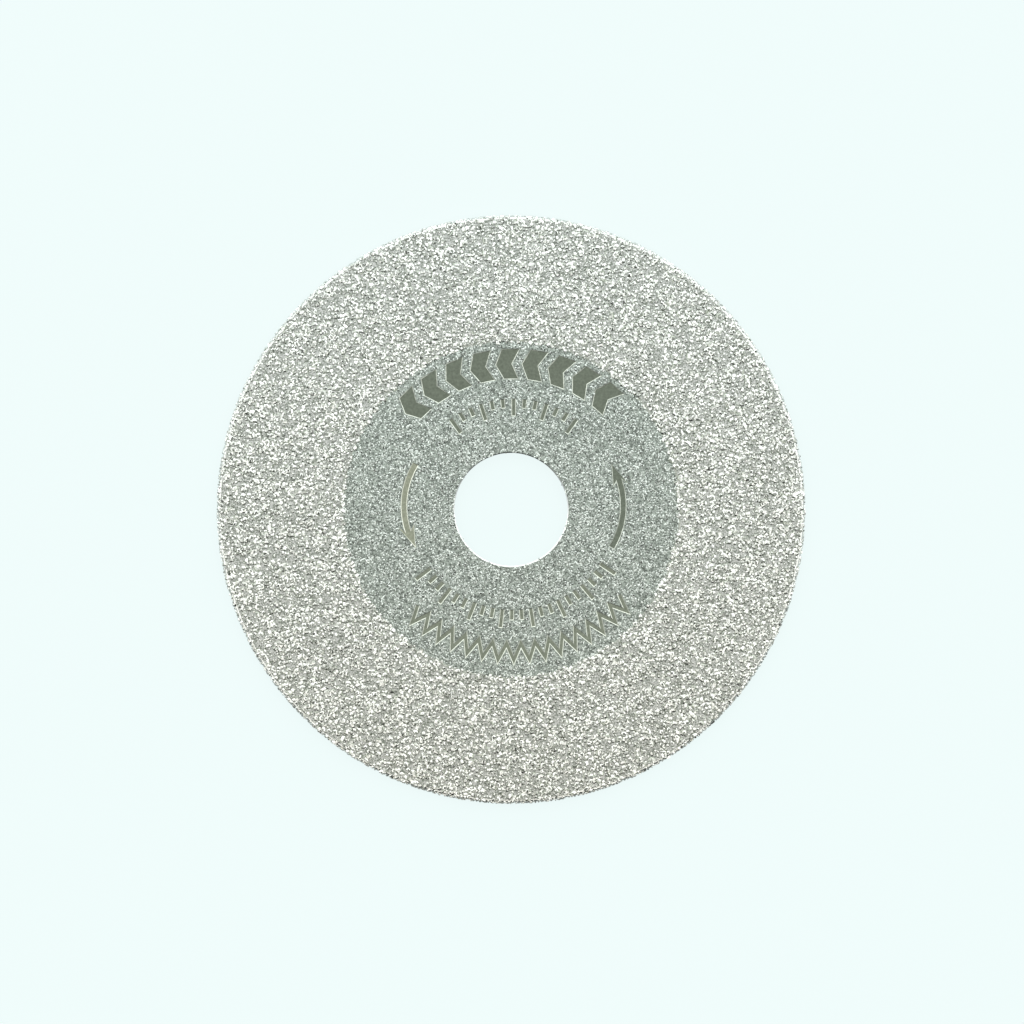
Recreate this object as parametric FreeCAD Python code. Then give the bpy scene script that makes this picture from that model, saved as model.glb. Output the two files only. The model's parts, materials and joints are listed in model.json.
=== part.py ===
import FreeCAD, Part

import os

# A thin, flat cutting disc.  A steel blank with a centre bore is plated all over, and its outer
# band and its rim carry abrasive grit that is bonded on in a thicker coat.  It is one piece, the
# same on both faces.  It lies flat: the lower face of the band is on Z = 0, and the bore's axis
# is the Z axis.  Lengths are in millimetres.

# Steel blank, before it is plated.
blank_diameter = 49.6
blank_thickness = 0.5

# Plating on every face of the blank, and how far the gritty band stands above it.  The coat
# thins out over a short slope at the band's inner edge.
plating_thickness = 0.1
grit_height = 0.1
grit_slope_width = 0.15

# Plain field in the middle of each face, where the clamping flanges bear.
seat_diameter = 28.5

# Finished bore, and the 45 degree edge break at each end of it.
bore_diameter = 9.6
bore_edge_break = 0.08

# Straight wall in the middle of the rim.  The coat rounds the rim off on each side of it.
rim_land = 0.4

# Sizes that follow from the ones above.
band_coat = plating_thickness + grit_height
overall_thickness = blank_thickness + 2 * band_coat
middle_height = overall_thickness / 2
seat_height = overall_thickness - grit_height
outer_radius = blank_diameter / 2 + band_coat
seat_radius = seat_diameter / 2
bore_radius = bore_diameter / 2
rim_radius = (overall_thickness - rim_land) / 2

upward = FreeCAD.Vector(0, 0, 1)
full_turn = 360


def point(radius, height):
    """A point of the half section, at a radius from the bore's axis."""
    return FreeCAD.Vector(radius, 0, height)


def straight(start, end):
    """A straight edge of the section."""
    return Part.LineSegment(start, end).toShape()


def rounded(start, corner, end):
    """A quarter circle from start to end, in place of the square corner where they meet."""
    centre = start + end - corner
    reach = corner - centre
    reach.normalize()
    halfway = centre + reach * (start - centre).Length
    return Part.Arc(start, halfway, end).toShape()


def upper_section():
    """The section of the disc above its middle plane, from the bore out to the rim."""
    bore_middle = point(bore_radius, middle_height)
    bore_top = point(bore_radius, seat_height - bore_edge_break)
    seat_inside = point(bore_radius + bore_edge_break, seat_height)
    seat_outside = point(seat_radius, seat_height)
    band_inside = point(seat_radius + grit_slope_width, overall_thickness)
    band_outside = point(outer_radius - rim_radius, overall_thickness)
    rim_corner = point(outer_radius, overall_thickness)
    rim_top = point(outer_radius, overall_thickness - rim_radius)
    rim_middle = point(outer_radius, middle_height)
    edges = [
        straight(bore_middle, bore_top),
        straight(bore_top, seat_inside),
        straight(seat_inside, seat_outside),
        straight(seat_outside, band_inside),
        straight(band_inside, band_outside),
        rounded(band_outside, rim_corner, rim_top),
        straight(rim_top, rim_middle),
        straight(rim_middle, bore_middle),
    ]
    return Part.Face(Part.Wire(edges))


def cutting_disc():
    """The upper half, turned about the bore's axis, joined to its mirror image below."""
    upper_half = upper_section().revolve(point(0, 0), upward, full_turn)
    lower_half = upper_half.mirror(point(0, middle_height), upward)
    return upper_half.fuse(lower_half).removeSplitter()


os.makedirs("parts", exist_ok=True)
disc = cutting_disc()
disc.exportStep("parts/disc.step")
print("disc: %d solid, valid %s, %.3f mm3" % (len(disc.Solids), disc.isValid(), disc.Volume))
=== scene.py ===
# The looks of a plated cutting disc: the plating between the grains, the bonded grit on the band
# and the rim, the fine texture of the seat, the recessed marks, and the stage it lies on.

import json
import math
import random

import bmesh
import bpy
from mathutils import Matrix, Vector
from mathutils.geometry import delaunay_2d_cdt

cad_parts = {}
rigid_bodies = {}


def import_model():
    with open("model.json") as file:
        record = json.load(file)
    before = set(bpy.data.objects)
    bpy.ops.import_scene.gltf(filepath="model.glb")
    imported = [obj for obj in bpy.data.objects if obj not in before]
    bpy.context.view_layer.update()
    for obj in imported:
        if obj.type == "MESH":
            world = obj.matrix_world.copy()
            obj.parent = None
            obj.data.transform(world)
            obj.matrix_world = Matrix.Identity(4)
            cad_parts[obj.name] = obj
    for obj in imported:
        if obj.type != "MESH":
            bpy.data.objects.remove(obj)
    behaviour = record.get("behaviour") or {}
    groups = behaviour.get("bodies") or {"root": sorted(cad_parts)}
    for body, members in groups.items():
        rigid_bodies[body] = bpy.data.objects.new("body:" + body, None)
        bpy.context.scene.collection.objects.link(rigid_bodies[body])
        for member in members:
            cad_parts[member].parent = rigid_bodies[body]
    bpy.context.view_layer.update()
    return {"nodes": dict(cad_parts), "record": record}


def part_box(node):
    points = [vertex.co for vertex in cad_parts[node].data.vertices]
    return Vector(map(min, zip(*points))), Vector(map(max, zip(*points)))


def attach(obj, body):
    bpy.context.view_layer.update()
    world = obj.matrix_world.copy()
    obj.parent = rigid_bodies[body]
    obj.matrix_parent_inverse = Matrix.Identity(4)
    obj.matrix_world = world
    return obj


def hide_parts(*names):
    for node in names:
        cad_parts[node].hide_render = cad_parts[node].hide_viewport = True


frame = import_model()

bl_info = {
    "name": "Cutting Disc",
    "version": (1, 0, 0),
    "blender": (4, 5, 0),
    "location": "View3D > Sidebar > Cutting Disc",
    "description": "Dresses a plated cutting disc with grit, a textured seat and recessed marks",
    "category": "Add Mesh",
}

MM = 0.001
NODE = "disc"
BODY = "root"

# Sizes of the solid, read from the frame.


def radii_at(height):
    """Smallest and largest radius of the solid's corners at a height."""
    near = 0.001 * MM
    corners = [v.co for v in frame["nodes"][NODE].data.vertices if abs(v.co.z - height) < near]
    radii = [math.hypot(corner.x, corner.y) for corner in corners]
    return min(radii), max(radii)


mounts = {mount["name"]: mount for mount in frame["record"]["mounts"]}
top_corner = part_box(NODE)[1]
OUTER_RADIUS = top_corner.x
THICKNESS = top_corner.z
MIDDLE = THICKNESS / 2
BORE_RADIUS = mounts["bore"]["dims"]["r_mm"] * MM
SEAT_HEIGHT = mounts["seat_upper"]["pos_m"][2]
SEAT_INNER_RADIUS, SEAT_RADIUS = radii_at(SEAT_HEIGHT)
BAND_INNER_RADIUS, BAND_OUTER_RADIUS = radii_at(THICKNESS)
RIM_ROUNDING = OUTER_RADIUS - BAND_OUTER_RADIUS

# How finely the round pieces are divided.
TURN_STEPS = 360
ROUNDING_STEPS = 6


# Settings that a user would change.


def length(name, description, millimetres, least=0):
    """A property that holds a length, given here in millimetres."""
    return bpy.props.FloatProperty(
        name=name, description=description, default=millimetres * MM,
        min=least, precision=6, unit="LENGTH",
    )


def offset(name, description, millimetres):
    """A property that holds a length that may run either way."""
    return length(name, description, millimetres, least=-1)


def share(name, description, default):
    """A property that holds a share from nought to one."""
    return bpy.props.FloatProperty(
        name=name, description=description, default=default, min=0, max=1, subtype="FACTOR",
    )


def colour(name, description, default):
    """A property that holds a linear colour."""
    return bpy.props.FloatVectorProperty(
        name=name, description=description, default=default, min=0, max=1, size=3,
        subtype="COLOR",
    )


def amount(name, description, default, least=0):
    """A property that holds a plain number."""
    return bpy.props.FloatProperty(
        name=name, description=description, default=default, min=least
    )


def angle(name, description, degrees):
    """A property that holds an angle, given here in degrees."""
    return bpy.props.FloatProperty(
        name=name, description=description, default=math.radians(degrees), subtype="ANGLE",
    )


class GritSettings(bpy.types.PropertyGroup):
    """The bonded grains of the band and the rim, and the fine nodules of the seat."""

    grain_width: length("Grain width", "Width of a middling grain", 0.375)
    grain_stand: length("Grain stand", "How far grain tips stand above the plating", 0.1)
    grain_spacing: length("Grain spacing", "Least distance between two grains", 0.23)
    stray_width: length("Stray width", "How far stray grains reach onto the seat", 0.03)
    rim_width: length("Rim width", "Width of a middling grain on the rim", 0.3)
    rim_stand: length("Rim stand", "How far grain tips stand out from the rim", 0.14)
    rim_spacing: length("Rim spacing", "Least distance between two grains on the rim", 0.24)
    grain_density: amount("Grain density", "Grains for each square millimetre, at most", 100)
    patchiness: share("Patchiness", "How much thinner the grit is in its thin patches", 0.2)
    patch_size: length("Patch size", "Size of the thin patches", 0.7)
    size_spread: share("Size spread", "How far a grain's size departs from the middle", 0.55)
    tilt: angle("Tilt", "Largest lean of a grain", 16)
    nodule_width: length("Nodule width", "Width of a middling nodule on the seat", 0.17)
    nodule_stand: length("Nodule stand", "How far nodules stand above the seat's plating", 0.028)
    nodule_spacing: length("Nodule spacing", "Least distance between two nodules", 0.15)
    nodule_density: amount("Nodule density", "Nodules for each square millimetre, at most", 100)
    facet_contrast: amount("Facet contrast", "The higher, the fewer facets are dark", 8, least=1)
    seed: bpy.props.IntProperty(name="Seed", description="Seed of every scatter", default=7)


class MarkSettings(bpy.types.PropertyGroup):
    """The smooth marks that are pressed into the upper seat."""

    depth: length("Depth", "Depth of the marks below the seat's plating", 0.035)
    edge_width: length("Edge width", "Width of a mark's sloping edge", 0.06)
    shift_x: offset("Shift X", "How far the marks lie off the bore's axis in X", 0.22)
    shift_y: offset("Shift Y", "How far the marks lie off the bore's axis in Y", 0.30)
    clear_margin: length("Clear margin", "Plain margin kept round a mark", 0.08)
    arrow_width: length("Arrow width", "Width of a rotation arrow's shaft", 0.54)
    head_width: length("Head width", "Width of a rotation arrow's head", 1.3)
    head_length: length("Head length", "Length of a rotation arrow's head", 1.6)
    line_width: length("Line width", "Width of the thin marks", 0.38)


class FinishSettings(bpy.types.PropertyGroup):
    """The colours, roughness and fine relief of the plating."""

    grain_light: colour("Light grain", "Plating on the brightest grains", (0.96, 0.975, 0.95))
    grain_dull: colour("Dull grain", "Plating on the dullest grains", (0.9, 0.925, 0.88))
    # Painted shade: a few random facets of each grain and nodule are painted this near-black
    # colour.
    facet_shade_colour: colour("Dark facet", "Facets that have dulled the most", (0.10, 0.102, 0.092))
    # Painted shade: the colour painted round each grain's foot, where shade falls in the crevices
    # between the grains.
    crevice_shade: colour("Crevice", "Plating round the foot of each grain", (0.34, 0.38, 0.31))
    rim: colour("Rim", "Plating round the rim", (0.95, 0.975, 0.94))
    ground: colour("Ground", "Plating between the grains", (0.6, 0.665, 0.58))
    seat: colour("Seat", "Plating of the seat", (0.415, 0.463, 0.428))
    nodule: colour("Nodule", "Plating on the brightest nodules", (0.86, 0.93, 0.885))
    # Painted shade: the slope from the seat to the band is plating painted this darker colour, as
    # the shade along the step.
    step: colour("Step", "Dull plating on the slope from the seat to the band", (0.50, 0.53, 0.48))
    mark: colour("Mark", "Smooth floor of a mark", (0.20, 0.225, 0.18))
    worn_mark: colour("Worn mark", "Floor of a mark that is worn bright", (0.378, 0.395, 0.308))
    mark_edge: colour("Mark edge", "Slopes round the marks, where dull", (0.42, 0.44, 0.385))
    worn_edge: colour("Worn edge", "Slopes round a mark that is worn bright", (0.79, 0.8, 0.69))
    edge_dull: colour("Dull bore edge", "Broken edge of the bore, dullest", (0.80, 0.82, 0.79))
    edge_light: colour("Light bore edge", "Broken edge of the bore, brightest", (0.98, 0.98, 0.97))
    bore_dull: colour("Dull bore", "Wall of the bore, dullest", (0.36, 0.37, 0.34))
    bore_light: colour("Light bore", "Wall of the bore, brightest", (0.62, 0.63, 0.59))
    # Painted light: the tint painted onto the plating towards -Y, where the warmer front light
    # falls.
    painted_warm_tint: colour("Tarnish", "Tint of the plating at the -Y side", (0.92, 0.885, 0.86))
    relief_size: length("Relief size", "Size of the fine relief's features", 0.12)
    grain_relief: length("Grain relief", "Depth of the fine relief on the grains", 0.008)
    ground_relief: length("Ground relief", "Depth of the relief between the grains", 0.022)
    seat_relief: length("Seat relief", "Depth of the relief on the seat", 0.01)
    grain_roughness: share("Grain roughness", "Roughness of the grains", 0.15)
    ground_roughness: share("Ground roughness", "Roughness between the grains", 0.34)
    nodule_roughness: share("Nodule roughness", "Roughness of the nodules", 0.15)
    seat_roughness: share("Seat roughness", "Roughness of the seat", 0.4)
    step_roughness: share("Step roughness", "Roughness of the slope to the band", 0.35)
    mark_roughness: share("Mark roughness", "Roughness of the marks' floors", 0.5)
    edge_roughness: share("Bore edge roughness", "Roughness of the bore's broken edge", 0.12)


class StageSettings(bpy.types.PropertyGroup):
    """The camera, the floor and the light round the disc."""

    elevation: angle("Elevation", "Height of the camera above the horizon", 90)
    distance: length("Distance", "Camera to disc", 385.7)
    lens: amount("Lens", "Focal length, mm", 160, least=1)
    aim_x: offset("Aim X", "Where the camera looks", 0.083)
    aim_y: offset("Aim Y", "Where the camera looks", -0.217)
    backdrop: colour("Backdrop", "Floor and background", (0.871, 0.973, 0.965))
    back_light: amount("Back light", "Light from high up beyond the disc, at +Y", 1.8)
    front_light: amount("Front light", "Light from high up on the camera's side", 1.2)
    low_back_light: amount("Low back light", "Light from near the horizon, at +Y", 1.1)
    low_front_light: amount("Low front light", "Light from near the horizon, at -Y", 0.03)
    floor_light: amount("Floor light", "Light that the floor sends back up, at +Y", 0.85)
    floor_front_light: amount("Floor front light", "Light from the floor at -Y", 0.35)
    back_tint: colour("Back tint", "Colour of the back light", (0.955, 0.995, 1.0))
    front_tint: colour("Front tint", "Colour of the front light", (1.0, 0.99, 0.95))
    ring_outer: angle("Ring outer", "Half angle at which the high light ends", 72)
    ring_fade: angle("Ring fade", "Angle over which the high light fades out", 15)
    ring_lean: angle("Ring lean", "How far the high light leans to +Y", 24)
    lens_hole: colour("Lens hole", "Darker patch overhead", (0.30, 0.335, 0.295))
    hole_inner: angle("Hole inner", "Half angle of the darkest part of that patch", 10)
    hole_outer: angle("Hole outer", "Half angle at which that patch ends", 30)


# Helpers for meshes.


def circle(radius, height):
    """The points of a level circle round the bore's axis."""
    turns = [2 * math.pi * step / TURN_STEPS for step in range(TURN_STEPS)]
    return [Vector((radius * math.cos(t), radius * math.sin(t), height)) for t in turns]


def add_turned(mesh, profile, material_index):
    """Adds the surface that a profile of (radius, height) points sweeps round the axis."""
    rings = [[mesh.verts.new(p) for p in circle(*corner)] for corner in profile]
    for inner, outer in zip(rings, rings[1:]):
        for step in range(TURN_STEPS):
            after = (step + 1) % TURN_STEPS
            corners = (inner[step], outer[step], outer[after], inner[after])
            mesh.faces.new(corners).material_index = material_index


def rounding(centre, radius, start_degrees, end_degrees):
    """The (radius, height) points of a rounded edge of a profile."""
    span = math.radians(end_degrees - start_degrees)
    first = math.radians(start_degrees)
    turns = [first + span * step / ROUNDING_STEPS for step in range(ROUNDING_STEPS + 1)]
    return [(centre[0] + radius * math.cos(t), centre[1] + radius * math.sin(t)) for t in turns]


def new_object(name, data):
    """A new object in the scene for a mesh or a camera."""
    made = bpy.data.objects.new(name, data)
    bpy.context.scene.collection.objects.link(made)
    return made


def object_from_bmesh(name, mesh, materials=()):
    """Turns a bmesh into an object that sits at the origin."""
    data = bpy.data.meshes.new(name)
    mesh.to_mesh(data)
    mesh.free()
    for material in materials:
        data.materials.append(material)
    return new_object(name, data)


def hand_over(piece):
    """Puts a finished piece on the frame, in place of the plain solid."""
    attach(piece, BODY)
    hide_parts(NODE)


# Helpers for node trees.


def feed(tree, entry, value):
    """Links an input to a socket, or sets it to a plain value."""
    if isinstance(value, bpy.types.NodeSocket):
        tree.links.new(value, entry)
    else:
        entry.default_value = value


def add_node(tree, kind, inputs=None, **settings):
    """Adds a node.  inputs maps an input's name or number to a socket or a value."""
    made = tree.nodes.new(kind)
    for setting, value in settings.items():
        setattr(made, setting, value)
    for key, value in (inputs or {}).items():
        feed(tree, made.inputs[key], value)
    return made


def rgba(three, level=1.0):
    """A colour socket's four numbers, for a colour at a level that may pass white."""
    return (*[level * part for part in three], 1)


def toned(three, level):
    """A colour made darker or lighter, but no lighter than white."""
    return rgba([min(1, level * part) for part in three])


def noise(tree, size, detail=2.0):
    """Noise on the object's own coordinates, with features of a size in metres."""
    place = add_node(tree, "ShaderNodeTexCoord")
    made = add_node(
        tree, "ShaderNodeTexNoise",
        {"Vector": place.outputs["Object"], "Scale": 1 / size, "Detail": detail},
    )
    return made.outputs["Fac"]


def attribute(tree, name):
    """A number that the mesh carries under a name."""
    return add_node(tree, "ShaderNodeAttribute", attribute_name=name).outputs["Fac"]


def ramp(tree, value, limits=(0, 1), results=(0, 1), **settings):
    """A number that runs from one result to the other as a value runs between its limits."""
    made = add_node(
        tree, "ShaderNodeMapRange",
        {
            "Value": value,
            "From Min": limits[0],
            "From Max": limits[1],
            "To Min": results[0],
            "To Max": results[1],
        },
        **settings,
    )
    return made.outputs["Result"]


def mixed(tree, factor, first, second, blend_type="MIX"):
    """A colour between two others, or the first one multiplied by the second."""
    made = add_node(
        tree, "ShaderNodeMix", {0: factor, 6: first, 7: second},
        data_type="RGBA", blend_type=blend_type,
    )
    return made.outputs[2]


# Finishes.


def new_plating(name):
    """A material of bare metal, with its tree and its shader."""
    material = bpy.data.materials.new(name)
    material.use_nodes = True
    shader = material.node_tree.nodes["Principled BSDF"]
    shader.inputs["Metallic"].default_value = 1
    return material, material.node_tree, shader


def cover(tree, shader, shaded, roughness):
    """Gives a shader its colour and its roughness."""
    feed(tree, shader.inputs["Base Color"], shaded)
    feed(tree, shader.inputs["Roughness"], roughness)


def add_bump(tree, shader, height, distance, strength=1.0):
    """Gives a shader a relief of a depth."""
    bump = add_node(
        tree, "ShaderNodeBump",
        {"Height": height, "Strength": strength, "Distance": distance},
    )
    feed(tree, shader.inputs["Normal"], bump.outputs["Normal"])


def add_relief(tree, shader, depth):
    """Gives a shader the plating's fine relief."""
    finish = bpy.context.scene.disc_finish
    add_bump(tree, shader, noise(tree, finish.relief_size, 1), depth)


def warmed_by_painted_light(tree, shaded):
    """A colour painted warmer little by little towards -Y, as painted light from the warmer front
    light.
    """
    finish = bpy.context.scene.disc_finish
    place = add_node(tree, "ShaderNodeTexCoord")
    parts = add_node(tree, "ShaderNodeSeparateXYZ", {0: place.outputs["Object"]})
    towards = ramp(tree, parts.outputs["Y"], (OUTER_RADIUS, -OUTER_RADIUS))
    return mixed(tree, towards, shaded, rgba(finish.painted_warm_tint), "MULTIPLY")


def faceted(tree, dull, light):
    """A crystal's own colour between two others, with painted shade that darkens some of its
    facets.
    """
    finish = bpy.context.scene.disc_finish
    tint = mixed(tree, attribute(tree, "grain_tone"), dull, light)
    return mixed(tree, attribute(tree, "facet_shade"), tint, rgba(finish.facet_shade_colour))


def grain_finish(name, foot_shade_colour):
    """Bright plating over the bonded grains, each a little different, with painted shade towards
    each grain's foot and on a few facets, and painted warm light towards -Y.
    """
    finish = bpy.context.scene.disc_finish
    material, tree, shader = new_plating(name)
    upper = faceted(tree, rgba(finish.grain_dull), rgba(finish.grain_light))
    # Painted shade: near its foot the grain's colour turns to the painted shade colour, where
    # shade falls between the grains.
    depth = ramp(tree, attribute(tree, "grain_foot_shade"), (0.2, 0.8))
    foot_shaded = mixed(tree, depth, upper, rgba(foot_shade_colour))
    cover(tree, shader, warmed_by_painted_light(tree, foot_shaded), finish.grain_roughness)
    add_relief(tree, shader, finish.grain_relief)
    return material


def nodule_finish():
    """Brighter plating on the nodules, each one a little different, with painted shade on some
    facets and painted warm light towards -Y.
    """
    finish = bpy.context.scene.disc_finish
    material, tree, shader = new_plating("plated_nodule_painted_shade")
    upper = faceted(tree, toned(finish.nodule, 0.7), rgba(finish.nodule))
    cover(tree, shader, warmed_by_painted_light(tree, upper), finish.nodule_roughness)
    return material


def blotched(name, middle, roughness, depth, blotch_size, detail, levels, limits=(0, 1)):
    """Plating in darker and lighter blotches, at two levels of a colour, over a fine relief."""
    material, tree, shader = new_plating(name)
    spread = ramp(tree, noise(tree, blotch_size, detail), limits)
    shaded = mixed(tree, spread, toned(middle, levels[0]), toned(middle, levels[1]))
    # Painted light: the blotched colour is painted warmer towards -Y.
    cover(tree, shader, warmed_by_painted_light(tree, shaded), roughness)
    add_relief(tree, shader, depth)
    return material


def ground_finish():
    """The duller plating in the valleys between the grains."""
    finish = bpy.context.scene.disc_finish
    return blotched(
        "plated_ground", finish.ground, finish.ground_roughness, finish.ground_relief,
        blotch_size=0.12 * MM, detail=1, levels=(0.6, 1.85), limits=(0.36, 0.6),
    )


def seat_finish():
    """Satin plating of the seat between its nodules."""
    finish = bpy.context.scene.disc_finish
    return blotched(
        "plated_seat", finish.seat, finish.seat_roughness, finish.seat_relief,
        blotch_size=0.14 * MM, detail=2, levels=(0.45, 1.6), limits=(0.36, 0.64),
    )


def rim_finish():
    """The bright plating round the rim, under its grains."""
    finish = bpy.context.scene.disc_finish
    return blotched(
        "plated_rim", finish.rim, finish.grain_roughness, finish.grain_relief,
        blotch_size=0.2 * MM, detail=1, levels=(0.8, 1.0),
    )


def shaded_step_finish():
    """The slope from the seat up to the band, its plating painted darker as painted shade along
    the step.
    """
    finish = bpy.context.scene.disc_finish
    return blotched(
        "plated_step_painted_shade", finish.step, finish.step_roughness, finish.ground_relief,
        blotch_size=0.2 * MM, detail=2, levels=(0.5, 1.5),
    )


def mark_finish():
    """The smooth floors of the marks, lighter where their wear attribute says so."""
    finish = bpy.context.scene.disc_finish
    material, tree, shader = new_plating("plated_mark")
    mottle = noise(tree, 0.2 * MM, 3)
    wear = attribute(tree, "mark_wear")
    tint = mixed(tree, wear, rgba(finish.mark), rgba(finish.worn_mark))
    levels = ramp(tree, mottle, results=(0.6, 1.4))
    cover(tree, shader, mixed(tree, 1.0, tint, levels, "MULTIPLY"), finish.mark_roughness)
    add_bump(tree, shader, mottle, 0.02 * MM, strength=0.12)
    return material


def mark_edge_finish():
    """The slopes round the marks, in dull and bright patches, and pale where they are worn."""
    finish = bpy.context.scene.disc_finish
    material, tree, shader = new_plating("plated_mark_edge")
    grey = noise(tree, 0.3 * MM)
    patches = ramp(tree, grey, results=(-1.2, 2.2))
    shaded = mixed(tree, patches, rgba(finish.mark_edge), toned(finish.mark_edge, 1.7))
    edged = mixed(tree, attribute(tree, "mark_wear"), shaded, rgba(finish.worn_edge))
    cover(tree, shader, edged, ramp(tree, grey, results=(0.25, 0.4)))
    return material


def bore_edge_finish():
    """The bright broken edge at each end of the bore."""
    finish = bpy.context.scene.disc_finish
    material, tree, shader = new_plating("plated_bore_edge")
    shaded = mixed(tree, noise(tree, 0.2 * MM), rgba(finish.edge_dull), rgba(finish.edge_light))
    cover(tree, shader, shaded, finish.edge_roughness)
    return material


def bore_finish():
    """The plated wall of the bore, with faint drawn lines along the axis."""
    finish = bpy.context.scene.disc_finish
    material, tree, shader = new_plating("plated_bore")
    line_width, squeeze = 0.12 * MM, 0.12
    place = add_node(tree, "ShaderNodeTexCoord")
    drawn_out = add_node(
        tree, "ShaderNodeMapping",
        {"Vector": place.outputs["Object"], "Scale": (1, 1, squeeze)},
    )
    texture = add_node(
        tree, "ShaderNodeTexNoise",
        {"Vector": drawn_out.outputs["Vector"], "Scale": 1 / line_width, "Detail": 3.0},
    )
    lines = texture.outputs["Fac"]
    shaded = mixed(tree, lines, rgba(finish.bore_dull), rgba(finish.bore_light))
    cover(tree, shader, shaded, ramp(tree, lines, results=(0.25, 0.45)))
    add_bump(tree, shader, lines, 0.02 * MM, strength=0.3)
    return material


# Outlines of the marks, as closed lists of (x, y) points that run counter-clockwise.  Turns are
# in degrees, counter-clockwise from +X.

DARK, FAINTLY_WORN, PARTLY_WORN, WORN = 0.0, 0.1, 0.4, 1.0


def polar(radius, degrees, centre=(0, 0)):
    """A point at a radius and an angle from a centre."""
    turn = math.radians(degrees)
    return (centre[0] + radius * math.cos(turn), centre[1] + radius * math.sin(turn))


def arc(radius, start, end, centre=(0, 0)):
    """Points along an arc, about one for each 0.3 mm."""
    steps = max(1, round(abs(math.radians(end - start)) * radius / (0.3 * MM)))
    return [polar(radius, start + (end - start) * n / steps, centre) for n in range(steps + 1)]


def rotation_arrow(side):
    """A curved arrow beside the bore.  side is 1 on the right and -1 on the left."""
    marks = bpy.context.scene.disc_marks
    bend, centre_offset, half_height = 6.8 * MM, 2.5 * MM, 3.57 * MM
    reach = math.degrees(math.asin(half_height / bend))
    head = math.degrees(marks.head_length / bend)
    barb_sweep = 0.25 * head
    facing = 0 if side > 0 else 180
    centre = (side * centre_offset, 0)
    half, wing = marks.arrow_width / 2, marks.head_width / 2
    tail, neck, tip = facing - reach, facing + reach - head, facing + reach
    outline = arc(bend + half, tail, neck, centre)
    outline += [
        polar(bend + wing, neck - barb_sweep, centre),
        polar(bend, tip, centre),
        polar(bend - wing, neck - barb_sweep, centre),
    ]
    outline += arc(bend - half, neck, tail, centre)
    return outline


def chevron(middle):
    """A bold chevron on the upper arc that points the way the disc turns."""
    inner, outer, stroke, point = 10.75 * MM, 13.35 * MM, 6.8, 3.0
    centre_line = (inner + outer) / 2
    return [
        polar(inner, middle),
        polar(centre_line, middle + point),
        polar(outer, middle),
        polar(outer, middle + stroke),
        polar(centre_line, middle + point + stroke),
        polar(inner, middle + stroke),
    ]


def tick(middle, inner, outer):
    """A thin mark that runs along a radius."""
    half = bpy.context.scene.disc_marks.line_width / 2
    out = Vector(polar(1, middle))
    aside = Vector((-out.y, out.x)) * half
    corners = [out * inner - aside, out * outer - aside, out * outer + aside, out * inner + aside]
    return [tuple(corner) for corner in corners]


def tick_scale(count, start, pitch, foot, short_end, long_end):
    """Ticks along an arc that all start at one radius.  Every third one is long."""
    ends = [short_end if number % 3 else long_end for number in range(count)]
    return [
        tick(start + pitch * number, min(foot, end), max(foot, end))
        for number, end in enumerate(ends)
    ]


def zigzag(start, end, waves, inner, outer):
    """A thin line that runs to and fro between two radii along an arc."""
    half = bpy.context.scene.disc_marks.line_width / 2
    widest_mitre = 5
    steps = 2 * waves
    turns = [start + (end - start) * n / steps for n in range(steps + 1)]
    spine = [Vector(polar(outer if n % 2 else inner, t)) for n, t in enumerate(turns)]
    sides = [[], []]
    for n, here in enumerate(spine):
        before = (here - spine[n - 1]).normalized() if n else (spine[1] - here).normalized()
        after = (spine[n + 1] - here).normalized() if n < steps else before
        across = (before + after).normalized().orthogonal()
        stretch = half / max(1 / widest_mitre, abs(across.dot(before.orthogonal())))
        sides[0].append(tuple(here - across * stretch))
        sides[1].append(tuple(here + across * stretch))
    return sides[1] + sides[0][::-1]


def signed_area(outline):
    """Area of a closed outline, positive where it runs counter-clockwise."""
    pairs = zip(outline, outline[1:] + outline[:1])
    return sum(a[0] * b[1] - b[0] * a[1] for a, b in pairs) / 2


def all_marks():
    """Every mark's outline with its wear, from nought for dark to one for worn bright."""
    marks = [(rotation_arrow(-1), WORN), (rotation_arrow(1), DARK)]
    first_chevron, chevron_pitch, chevrons = 45.2, 10.6, 9
    for number in range(chevrons):
        marks.append((chevron(first_chevron + chevron_pitch * number), DARK))
    upper_scale = tick_scale(
        count=13, start=54, pitch=6, foot=9.1 * MM, short_end=8.3 * MM, long_end=7.6 * MM
    )
    lower_scale = tick_scale(
        count=22, start=217, pitch=5.2, foot=8.8 * MM, short_end=9.7 * MM, long_end=10.4 * MM
    )
    line = zigzag(start=226, end=320, waves=16, inner=11.7 * MM, outer=13.1 * MM)
    marks += [(outline, FAINTLY_WORN) for outline in upper_scale]
    marks += [(outline, PARTLY_WORN) for outline in lower_scale + [line]]
    shift = bpy.context.scene.disc_marks
    moved = []
    for outline, wear in marks:
        if signed_area(outline) < 0:
            outline.reverse()
        moved.append(([(x + shift.shift_x, y + shift.shift_y) for x, y in outline], wear))
    return moved


def inset(outline, distance):
    """The outline moved inwards all round by a distance."""
    sharpest = 0.35
    moved = []
    for n, here in enumerate(outline):
        before, after = Vector(outline[n - 1]), Vector(outline[(n + 1) % len(outline)])
        corner = Vector(here)
        first = (corner - before).normalized()
        second = (after - corner).normalized()
        inward = Vector((-first.y, first.x)) + Vector((-second.y, second.x))
        inward.normalize()
        stretch = max(sharpest, inward.dot(Vector((-first.y, first.x))))
        moved.append(tuple(corner + inward * (distance / stretch)))
    return moved


# The disc under its grains.

GROUND, SEAT, MARK, MARK_EDGE, BORE, BORE_EDGE, STEP, RIM = range(8)


def ground_heights():
    """Heights of the plating under the seat's nodules and under the band's grains."""
    grit = bpy.context.scene.disc_grit
    return SEAT_HEIGHT - grit.nodule_stand, THICKNESS - grit.grain_stand


def mirrored(profile):
    """A profile's mirror image below the middle plane."""
    return [(radius, THICKNESS - height) for radius, height in profile]


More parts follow.
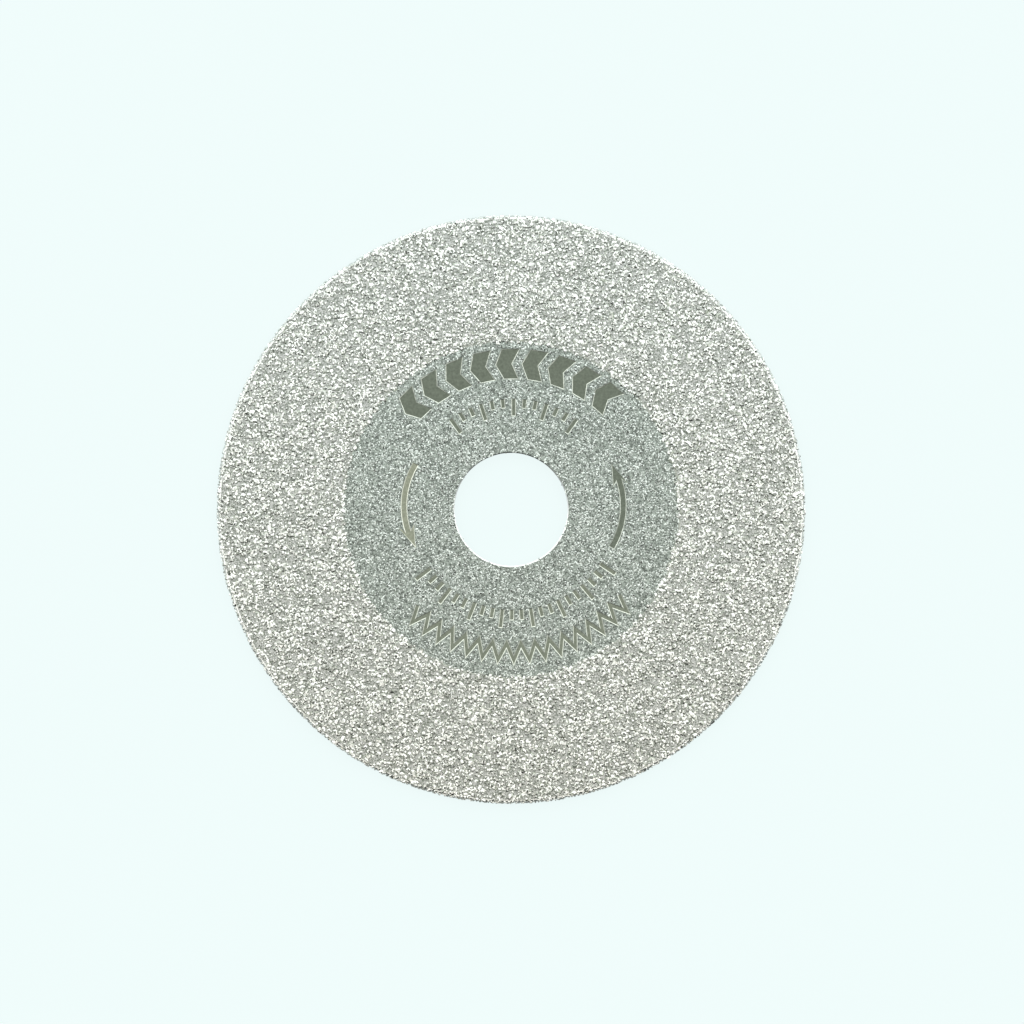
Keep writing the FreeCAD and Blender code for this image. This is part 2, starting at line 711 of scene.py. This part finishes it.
def rim_profile():
    """The plating under the rim's grains, from the upper face down to the lower one."""
    grit = bpy.context.scene.disc_grit
    band_ground = ground_heights()[1]
    core_radius = OUTER_RADIUS - grit.rim_stand
    corner = (core_radius - RIM_ROUNDING, band_ground - RIM_ROUNDING)
    upper = rounding(corner, RIM_ROUNDING, 90, 0)
    return upper + mirrored(upper)[::-1]


def add_marked_seat(mesh):
    """Adds the upper seat as one flat ring with the marks pressed into it."""
    settings = bpy.context.scene.disc_marks
    seat_ground = ground_heights()[0]
    points, heights, edges, faces, kinds = [], [], [], [], []

    def add_loop(outline, height, kind):
        first = len(points)
        numbers = list(range(first, first + len(outline)))
        points.extend(Vector(point[:2]) for point in outline)
        heights.extend([height] * len(outline))
        edges.extend(zip(numbers, numbers[1:] + numbers[:1]))
        if kind is not None:
            faces.append(numbers)
            kinds.append(kind)

    add_loop(circle(SEAT_INNER_RADIUS, 0), seat_ground, None)
    add_loop(circle(SEAT_RADIUS, 0), seat_ground, None)
    for outline, wear in all_marks():
        add_loop(outline, seat_ground, (MARK_EDGE, wear))
        add_loop(inset(outline, settings.edge_width), seat_ground - settings.depth, (MARK, wear))

    whole_outside, closeness = 0, 1e-9
    found = delaunay_2d_cdt(points, edges, faces, whole_outside, closeness)
    flat_points, triangles, point_sources, face_sources = found[0], found[2], found[3], found[5]
    corners = []
    for flat, sources in zip(flat_points, point_sources):
        height = min([heights[source] for source in sources], default=seat_ground)
        corners.append(mesh.verts.new((flat.x, flat.y, height)))
    wear_layer = mesh.faces.layers.float.new("mark_wear")
    for triangle, sources in zip(triangles, face_sources):
        middle = sum((flat_points[n] for n in triangle), Vector((0, 0))) / 3
        if middle.length < SEAT_INNER_RADIUS * math.cos(math.pi / TURN_STEPS):
            continue
        face = mesh.faces.new([corners[n] for n in triangle])
        kind, wear = (SEAT, DARK)
        for source in sources:
            if kinds[source][0] == MARK or kind == SEAT:
                kind, wear = kinds[source]
        face.material_index = kind
        face[wear_layer] = wear


def mark_creases(mesh):
    """Keeps the edges sharp where a level face meets another, and at steep corners."""
    level = 0.99999
    steep = math.radians(40)
    for edge in mesh.edges:
        if len(edge.link_faces) == 2:
            levels = [abs(face.normal.z) > level for face in edge.link_faces]
            edge.smooth = levels[0] == levels[1] and edge.calc_face_angle(0) < steep


class DISC_OT_body(bpy.types.Operator):
    """Build the plated disc under its grains, with the marks in its upper seat"""

    bl_idname = "cutting_disc.body"
    bl_label = "Plated Disc"

    def execute(self, context):
        seat_ground, band_ground = ground_heights()
        edge_break = SEAT_INNER_RADIUS - BORE_RADIUS
        wall = [(BORE_RADIUS, MIDDLE), (BORE_RADIUS, SEAT_HEIGHT - edge_break)]
        chamfer = [wall[1], (SEAT_INNER_RADIUS, seat_ground)]
        step = [(SEAT_RADIUS, seat_ground), (BAND_INNER_RADIUS, band_ground)]
        band = [step[1], rim_profile()[0]]
        mesh = bmesh.new()
        add_marked_seat(mesh)
        add_turned(mesh, mirrored([chamfer[1], step[0]]), SEAT)
        for profile, kind in ((wall, BORE), (chamfer, BORE_EDGE), (step, STEP), (band, GROUND)):
            add_turned(mesh, profile, kind)
            add_turned(mesh, mirrored(profile), kind)
        add_turned(mesh, rim_profile(), RIM)
        bmesh.ops.remove_doubles(mesh, verts=mesh.verts[:], dist=0.0001 * MM)
        bmesh.ops.recalc_face_normals(mesh, faces=mesh.faces[:])
        for face in mesh.faces:
            face.smooth = True
        mark_creases(mesh)
        finishes = [
            ground_finish(), seat_finish(), mark_finish(), mark_edge_finish(), bore_finish(),
            bore_edge_finish(), shaded_step_finish(), rim_finish(),
        ]
        hand_over(object_from_bmesh("disc_body", mesh, finishes))
        return {"FINISHED"}


# Grains and nodules, as small closed shapes of unit width and height.  Each pair below is the
# least and the most of what is drawn for a crystal, a side or a corner.

STRETCH = (0.75, 1.3)
SIDE_REACH = (0.7, 1.3)
TIP_LEAN = (-0.16, 0.16)
CORNER_REACH = (0.94, 1.06)
CORNER_HEIGHT = (0.95, 1.0)


def build_crystal(name, draws, sides, rings):
    """A blunt crystal.  rings gives each ring's share of the width and its height."""
    contrast = bpy.context.scene.disc_grit.facet_contrast
    mesh = bmesh.new()
    shade = mesh.faces.layers.float.new("facet_shade")
    # Each corner's share of the way down to the grain's foot, which the painted shade at the foot
    # reads.
    foot = mesh.verts.layers.float.new("grain_foot_shade")
    turn_offset = draws.uniform(0, 2 * math.pi)
    stretch = draws.uniform(*STRETCH)
    reach = [draws.uniform(*SIDE_REACH) for _ in range(sides)]
    lean = (draws.uniform(*TIP_LEAN), draws.uniform(*TIP_LEAN))
    loops = []
    for width, height in rings:
        loop = []
        for side in range(sides):
            turn = turn_offset + 2 * math.pi * side / sides
            out = 0.5 * width * reach[side] * draws.uniform(*CORNER_REACH)
            x = out * math.cos(turn) * stretch + lean[0] * max(0, height)
            y = out * math.sin(turn) / stretch + lean[1] * max(0, height)
            vertex = mesh.verts.new((x, y, height * draws.uniform(*CORNER_HEIGHT)))
            vertex[foot] = 1 - max(0, height)
            loop.append(vertex)
        loops.append(loop)
    for lower, upper in zip(loops, loops[1:]):
        for side in range(sides):
            after = (side + 1) % sides
            mesh.faces.new((lower[side], lower[after], upper[after], upper[side]))
    mesh.faces.new(loops[-1])
    mesh.faces.new(loops[0][::-1])
    for face in mesh.faces:
        # Painted shade: each facet draws its share of the near-black facet colour, high for only a
        # few facets.
        face[shade] = draws.random() ** contrast
    return object_from_bmesh(name, mesh)


def crystal_collection(name, seed, rings):
    """A collection of several different crystals for a scatter to choose from."""
    count, fewest_sides = 8, 4
    draws = random.Random(seed)
    collection = bpy.data.collections.new(name)
    for number in range(count):
        sides = fewest_sides + number % 2
        crystal = build_crystal("%s_%d" % (name, number), draws, sides, rings)
        bpy.context.scene.collection.objects.unlink(crystal)
        collection.objects.link(crystal)
    return collection


def remove_crystals(collection):
    """Deletes the shapes that the scatters have used."""
    for crystal in list(collection.objects):
        bpy.data.objects.remove(crystal)
    bpy.data.collections.remove(collection)


# The scatter, as one Geometry Nodes tree that every grit piece shares.

SCATTER_INPUTS = {
    "Crystals": "NodeSocketCollection",
    "Clear Of": "NodeSocketObject",
    "Clear Margin": "NodeSocketFloat",
    "Spacing": "NodeSocketFloat",
    "Density": "NodeSocketFloat",
    "Patchiness": "NodeSocketFloat",
    "Patch Size": "NodeSocketFloat",
    "Width": "NodeSocketFloat",
    "Stand": "NodeSocketFloat",
    "Size Spread": "NodeSocketFloat",
    "Tilt": "NodeSocketFloat",
    "Seed": "NodeSocketInt",
    "Largest Radius": "NodeSocketFloat",
    "Lowest": "NodeSocketFloat",
    "Highest": "NodeSocketFloat",
    "Material": "NodeSocketMaterial",
}

# Levels of the patches' noise at which the grit is thinnest and at which it is full.
PATCH_LEVELS = (0.35, 0.6)

# How high the lowest tip stands, as a share of the highest.
LOWEST_TIP = 0.62

# What is added to a scatter's seed, to keep one draw for a grain apart from another.
DRAW_SHIFTS = {"size": 11, "height": 23, "lean x": 31, "lean y": 37, "spin": 41, "tone": 53}

# A margin that no grain can be nearer than, for a scatter with nothing to keep clear of.
NO_MARGIN = -1.0


def maths(tree, operation, first, second=0.0):
    """The result of one sum."""
    return add_node(tree, "ShaderNodeMath", {0: first, 1: second}, operation=operation).outputs[0]


def random_number(tree, low, high, seed, draw):
    """A different number for each grain, for one of the draws."""
    own_seed = maths(tree, "ADD", seed, float(DRAW_SHIFTS[draw]))
    made = add_node(
        tree, "FunctionNodeRandomValue", {2: low, 3: high, 8: own_seed}, data_type="FLOAT"
    )
    return made.outputs[1]


def scatter_tree():
    """Scatters crystals over a surface, keeps them off the marks and inside the disc's size."""
    tree = bpy.data.node_groups.new("scatter_grains", "GeometryNodeTree")
    face = tree.interface
    face.new_socket("Geometry", in_out="INPUT", socket_type="NodeSocketGeometry")
    for name, kind in SCATTER_INPUTS.items():
        face.new_socket(name, in_out="INPUT", socket_type=kind)
    face.new_socket("Geometry", in_out="OUTPUT", socket_type="NodeSocketGeometry")
    given = add_node(tree, "NodeGroupInput").outputs
    seed = given["Seed"]

    # Points, thinner in broad patches.
    place = add_node(tree, "GeometryNodeInputPosition")
    patches = add_node(
        tree, "ShaderNodeTexNoise",
        {
            "Vector": place.outputs[0],
            "Scale": maths(tree, "DIVIDE", 1.0, given["Patch Size"]),
            "Detail": 2.0,
        },
    )
    thin = maths(tree, "SUBTRACT", 1.0, given["Patchiness"])
    points = add_node(
        tree, "GeometryNodeDistributePointsOnFaces",
        {
            "Mesh": given["Geometry"],
            "Distance Min": given["Spacing"],
            "Density Max": given["Density"],
            "Density Factor": ramp(tree, patches.outputs["Fac"], PATCH_LEVELS, (thin, 1.0)),
            "Seed": seed,
        },
        distribute_method="POISSON",
    )

    # Points on or beside a mark go.
    marks = add_node(tree, "GeometryNodeObjectInfo", {"Object": given["Clear Of"]})
    nearness = add_node(
        tree, "GeometryNodeProximity", {0: marks.outputs["Geometry"]}, target_element="FACES"
    )
    too_near = add_node(
        tree, "FunctionNodeCompare",
        {0: nearness.outputs["Distance"], 1: given["Clear Margin"]},
        data_type="FLOAT", operation="LESS_THAN",
    )
    kept = add_node(
        tree, "GeometryNodeDeleteGeometry",
        {"Geometry": points.outputs["Points"], "Selection": too_near.outputs[0]},
        domain="POINT",
    )

    # A crystal on each point, with its own size, spin and lean.
    crystals = add_node(
        tree, "GeometryNodeCollectionInfo",
        {"Collection": given["Crystals"], "Separate Children": True, "Reset Children": True},
    )
    smallest = maths(tree, "SUBTRACT", 1.0, given["Size Spread"])
    largest = maths(tree, "ADD", 1.0, given["Size Spread"])
    size = random_number(tree, smallest, largest, seed, "size")
    wide = maths(tree, "MULTIPLY", size, given["Width"])
    rise = random_number(tree, LOWEST_TIP, 1.0, seed, "height")
    tall = maths(tree, "MULTIPLY", rise, given["Stand"])
    scale = add_node(tree, "ShaderNodeCombineXYZ", {0: wide, 1: wide, 2: tall})
    choice = add_node(
        tree, "FunctionNodeRandomValue", {4: 0, 5: 1000, 8: seed}, data_type="INT"
    )
    placed = add_node(
        tree, "GeometryNodeInstanceOnPoints",
        {
            "Points": kept.outputs["Geometry"],
            "Instance": crystals.outputs[0],
            "Pick Instance": True,
            "Instance Index": choice.outputs[2],
            "Rotation": points.outputs["Rotation"],
            "Scale": scale.outputs[0],
        },
    )
    back = maths(tree, "MULTIPLY", given["Tilt"], -1.0)
    turn = add_node(
        tree, "ShaderNodeCombineXYZ",
        {
            0: random_number(tree, back, given["Tilt"], seed, "lean x"),
            1: random_number(tree, back, given["Tilt"], seed, "lean y"),
            2: random_number(tree, 0.0, 2 * math.pi, seed, "spin"),
        },
    )
    turned = add_node(
        tree, "GeometryNodeRotateInstances",
        {"Instances": placed.outputs[0], "Rotation": turn.outputs[0], "Local Space": True},
    )
    toned_grains = add_node(
        tree, "GeometryNodeStoreNamedAttribute",
        {
            "Geometry": turned.outputs[0],
            "Name": "grain_tone",
            "Value": random_number(tree, 0.0, 1.0, seed, "tone"),
        },
        data_type="FLOAT", domain="INSTANCE",
    )
    real = add_node(tree, "GeometryNodeRealizeInstances", {"Geometry": toned_grains.outputs[0]})

    # Tips that would pass the disc's size are worn down to it.
    spot = add_node(tree, "ShaderNodeSeparateXYZ", {0: place.outputs[0]}).outputs
    squares = [maths(tree, "POWER", spot[axis], 2.0) for axis in (0, 1)]
    across = maths(tree, "SQRT", maths(tree, "ADD", *squares))
    pull = maths(tree, "MINIMUM", maths(tree, "DIVIDE", given["Largest Radius"], across), 1.0)
    below_top = maths(tree, "MINIMUM", spot[2], given["Highest"])
    held = add_node(
        tree, "ShaderNodeCombineXYZ",
        {
            0: maths(tree, "MULTIPLY", spot[0], pull),
            1: maths(tree, "MULTIPLY", spot[1], pull),
            2: maths(tree, "MAXIMUM", below_top, given["Lowest"]),
        },
    )
    worn = add_node(
        tree, "GeometryNodeSetPosition",
        {"Geometry": real.outputs[0], "Position": held.outputs[0]},
    )
    finished = add_node(
        tree, "GeometryNodeSetMaterial",
        {"Geometry": worn.outputs[0], "Material": given["Material"]},
    )
    add_node(tree, "NodeGroupOutput", {"Geometry": finished.outputs[0]})
    return tree


def shared_scatter_tree():
    """The scatter tree, built once."""
    return bpy.data.node_groups.get("scatter_grains") or scatter_tree()


def scatter(name, profile, values):
    """Scatters crystals over the surface that a profile sweeps, as one plain mesh piece."""
    carrier = bmesh.new()
    add_turned(carrier, profile, 0)
    piece = object_from_bmesh(name, carrier)
    modifier = piece.modifiers.new("scatter", "NODES")
    modifier.node_group = shared_scatter_tree()
    for socket in modifier.node_group.interface.items_tree:
        if socket.in_out == "INPUT" and socket.name in values:
            modifier[socket.identifier] = values[socket.name]
    graph = bpy.context.evaluated_depsgraph_get()
    baked = bpy.data.meshes.new_from_object(
        piece.evaluated_get(graph), preserve_all_data_layers=True, depsgraph=graph
    )
    baked.name = name
    piece.modifiers.clear()
    piece.data = baked
    hand_over(piece)


def coarse_values(crystals, material, seed_shift):
    """The scatter's inputs for bonded grains on the band and rim."""
    grit = bpy.context.scene.disc_grit
    return {
        "Crystals": crystals,
        "Clear Margin": NO_MARGIN,
        "Spacing": grit.grain_spacing,
        "Density": grit.grain_density / MM ** 2,
        "Patchiness": grit.patchiness,
        "Patch Size": grit.patch_size,
        "Width": grit.grain_width,
        "Stand": grit.grain_stand,
        "Size Spread": grit.size_spread,
        "Tilt": grit.tilt,
        "Seed": grit.seed + seed_shift,
        "Largest Radius": OUTER_RADIUS,
        "Lowest": 0.0,
        "Highest": THICKNESS,
        "Material": material,
    }


class DISC_OT_grit(bpy.types.Operator):
    """Scatter the bonded grains over both faces of the band and round the rim"""

    bl_idname = "cutting_disc.grit"
    bl_label = "Bonded Grit"

    def execute(self, context):
        grit = context.scene.disc_grit
        finish = context.scene.disc_finish
        blunt = ((1.0, -0.1), (0.78, 0.6), (0.4, 1.0))
        crystals = crystal_collection("grain", seed=3, rings=blunt)
        # The band's grains get painted shade at their feet; the rim's grains keep the rim's own
        # colour there.
        material = grain_finish("plated_grain_painted_shade", finish.crevice_shade)
        rim = rim_profile()
        seat_ground, band_ground = ground_heights()
        halfway = ((SEAT_RADIUS + OUTER_RADIUS) / 2, band_ground)
        inner = [
            (SEAT_RADIUS - grit.stray_width, seat_ground),
            (SEAT_RADIUS, seat_ground),
            (BAND_INNER_RADIUS, band_ground),
            halfway,
        ]
        outer = [halfway, rim[0]]
        pieces = (
            ("upper_inner", inner, 0),
            ("lower_inner", mirrored(inner)[::-1], 100),
            ("upper_outer", outer, 10),
            ("lower_outer", mirrored(outer)[::-1], 110),
        )
        for place, profile, seed_shift in pieces:
            scatter("band_grit_" + place, profile, coarse_values(crystals, material, seed_shift))
        values = coarse_values(crystals, grain_finish("plated_rim_grain", finish.rim), 200)
        values.update({
            "Spacing": grit.rim_spacing,
            "Width": grit.rim_width,
            "Stand": grit.rim_stand,
        })
        clear_of_band = rim[2:-2]
        scatter("rim_grit", clear_of_band, values)
        remove_crystals(crystals)
        return {"FINISHED"}


class DISC_OT_seat(bpy.types.Operator):
    """Scatter the fine nodules over both seats, clear of the marks"""

    bl_idname = "cutting_disc.seat"
    bl_label = "Seat Texture"

    def execute(self, context):
        grit = context.scene.disc_grit
        low = ((1.15, -0.3), (0.6, 0.85))
        crystals = crystal_collection("nodule", seed=5, rings=low)
        seat_ground = ground_heights()[0]
        upper = [(SEAT_INNER_RADIUS, seat_ground), (SEAT_RADIUS, seat_ground)]
        values = coarse_values(crystals, nodule_finish(), 300)
        values.update({
            "Spacing": grit.nodule_spacing,
            "Density": grit.nodule_density / MM ** 2,
            "Width": grit.nodule_width,
            "Stand": grit.nodule_stand,
            "Lowest": THICKNESS - SEAT_HEIGHT,
            "Highest": SEAT_HEIGHT,
        })
        scatter("seat_texture_lower", mirrored(upper)[::-1], values)
        marks = bmesh.new()
        for outline, _ in all_marks():
            marks.faces.new([marks.verts.new((x, y, seat_ground)) for x, y in outline])
        plate = object_from_bmesh("marks_plate", marks)
        values.update({
            "Clear Of": plate,
            "Clear Margin": context.scene.disc_marks.clear_margin,
            "Seed": grit.seed + 400,
        })
        scatter("seat_texture_upper", upper, values)
        bpy.data.objects.remove(plate)
        remove_crystals(crystals)
        return {"FINISHED"}


# The stage.


def floor_finish():
    """A pale floor that keeps a faint shadow and can be seen through from below."""
    stage = bpy.context.scene.disc_stage
    plain_share = 0.93
    material = bpy.data.materials.new("pale_floor")
    material.use_nodes = True
    tree = material.node_tree
    tree.nodes.remove(tree.nodes["Principled BSDF"])
    matt = add_node(tree, "ShaderNodeBsdfDiffuse", {"Color": rgba(stage.backdrop)})
    plain = add_node(tree, "ShaderNodeEmission", {"Color": rgba(stage.backdrop)})
    lit = add_node(
        tree, "ShaderNodeMixShader", {0: plain_share, 1: matt.outputs[0], 2: plain.outputs[0]}
    )
    clear = add_node(tree, "ShaderNodeBsdfTransparent")
    side = add_node(tree, "ShaderNodeNewGeometry")
    seen = add_node(
        tree, "ShaderNodeMixShader",
        {0: side.outputs["Backfacing"], 1: lit.outputs[0], 2: clear.outputs[0]},
    )
    feed(tree, tree.nodes["Material Output"].inputs["Surface"], seen.outputs[0])
    return material


def build_world():
    """Soft light from all round, darker overhead where the camera looks through."""
    stage = bpy.context.scene.disc_stage
    front, back, floor = stage.front_tint, stage.back_tint, stage.backdrop
    world = bpy.data.worlds.new("soft_tent")
    world.use_nodes = True
    tree = world.node_tree
    tree.nodes.clear()
    place = add_node(tree, "ShaderNodeTexCoord").outputs["Generated"]
    spot = add_node(tree, "ShaderNodeSeparateXYZ", {0: place}).outputs
    ring_axis = (0, math.sin(stage.ring_lean), math.cos(stage.ring_lean))
    ring_along = add_node(
        tree, "ShaderNodeVectorMath", {0: place, 1: ring_axis}, operation="DOT_PRODUCT"
    )
    ring_limits = (math.cos(stage.ring_outer), math.cos(stage.ring_outer - stage.ring_fade))
    hole_limits = (math.cos(stage.hole_outer), math.cos(stage.hole_inner))

    # Shares from nought to one that say which part of the tent a direction meets.
    in_ring = ramp(
        tree, ring_along.outputs["Value"], ring_limits, interpolation_type="SMOOTHSTEP"
    )
    in_hole = ramp(tree, spot[2], hole_limits, interpolation_type="SMOOTHSTEP")
    near_floor = ramp(tree, spot[2], (0.25, 0.05))
    beyond = ramp(tree, spot[1], (-0.8, 0.8))
    low_beyond = ramp(tree, spot[1], (-0.8, 0.1))

    high = mixed(tree, beyond, rgba(front, stage.front_light), rgba(back, stage.back_light))
    low = mixed(
        tree, low_beyond, rgba(front, stage.low_front_light), rgba(back, stage.low_back_light)
    )
    from_floor = mixed(
        tree, low_beyond, rgba(floor, stage.floor_front_light), rgba(floor, stage.floor_light)
    )
    sides = mixed(tree, in_ring, mixed(tree, near_floor, low, from_floor), high)
    tent = mixed(tree, in_hole, sides, rgba(stage.lens_hole))
    ray = add_node(tree, "ShaderNodeLightPath")
    shown = mixed(tree, ray.outputs["Is Camera Ray"], tent, rgba(stage.backdrop))
    light = add_node(tree, "ShaderNodeBackground", {"Color": shown})
    add_node(tree, "ShaderNodeOutputWorld", {"Surface": light.outputs[0]})
    bpy.context.scene.world = world


def build_floor():
    """A broad level floor just under the disc, which only the camera sees."""
    half_size, drop = 4.0, 0.002 * MM
    mesh = bmesh.new()
    corners = ((-1, -1), (1, -1), (1, 1), (-1, 1))
    mesh.faces.new([mesh.verts.new((x * half_size, y * half_size, -drop)) for x, y in corners])
    floor = object_from_bmesh("floor", mesh, [floor_finish()])
    floor.visible_diffuse = False
    floor.visible_glossy = False
    floor.visible_shadow = False


def build_camera():
    """The camera straight above the disc, at the photo's framing."""
    stage = bpy.context.scene.disc_stage
    data = bpy.data.cameras.new("camera")
    data.lens = stage.lens
    data.sensor_width = 36
    data.clip_start = 0.01
    camera = new_object("camera", data)
    aim = Vector((stage.aim_x, stage.aim_y, THICKNESS))
    back = Vector((0, -math.cos(stage.elevation), math.sin(stage.elevation)))
    camera.location = aim + back * stage.distance
    camera.rotation_euler = (math.pi / 2 - stage.elevation, 0, 0)
    bpy.context.scene.camera = camera


class DISC_OT_stage(bpy.types.Operator):
    """Lay out the floor, the light and the camera"""

    bl_idname = "cutting_disc.stage"
    bl_label = "Stage"

    def execute(self, context):
        context.scene.view_settings.view_transform = "Standard"
        build_floor()
        build_world()
        build_camera()
        return {"FINISHED"}


class DISC_PT_panel(bpy.types.Panel):
    """The disc's operators and settings"""

    bl_idname = "DISC_PT_panel"
    bl_label = "Cutting Disc"
    bl_space_type = "VIEW_3D"
    bl_region_type = "UI"
    bl_category = "Cutting Disc"

    def draw(self, context):
        layout = self.layout
        for operator in OPERATORS:
            layout.operator(operator.bl_idname)
        for name in SETTINGS:
            group = getattr(context.scene, name)
            box = layout.box()
            for key in group.__annotations__:
                box.prop(group, key)


OPERATORS = (DISC_OT_body, DISC_OT_grit, DISC_OT_seat, DISC_OT_stage)
SETTINGS = {
    "disc_grit": GritSettings,
    "disc_marks": MarkSettings,
    "disc_finish": FinishSettings,
    "disc_stage": StageSettings,
}
CLASSES = (*SETTINGS.values(), *OPERATORS, DISC_PT_panel)


def register():
    """Registers the classes and hangs the settings on the scene."""
    for item in CLASSES:
        bpy.utils.register_class(item)
    for name, group in SETTINGS.items():
        setattr(bpy.types.Scene, name, bpy.props.PointerProperty(type=group))


def unregister():
    """Takes the settings and the classes away again."""
    for name in SETTINGS:
        delattr(bpy.types.Scene, name)
    for item in reversed(CLASSES):
        bpy.utils.unregister_class(item)


def main():
    """Builds the disc and its stage."""
    register()
    bpy.ops.cutting_disc.body()
    bpy.ops.cutting_disc.grit()
    bpy.ops.cutting_disc.seat()
    bpy.ops.cutting_disc.stage()


if __name__ == "__main__":
    main()
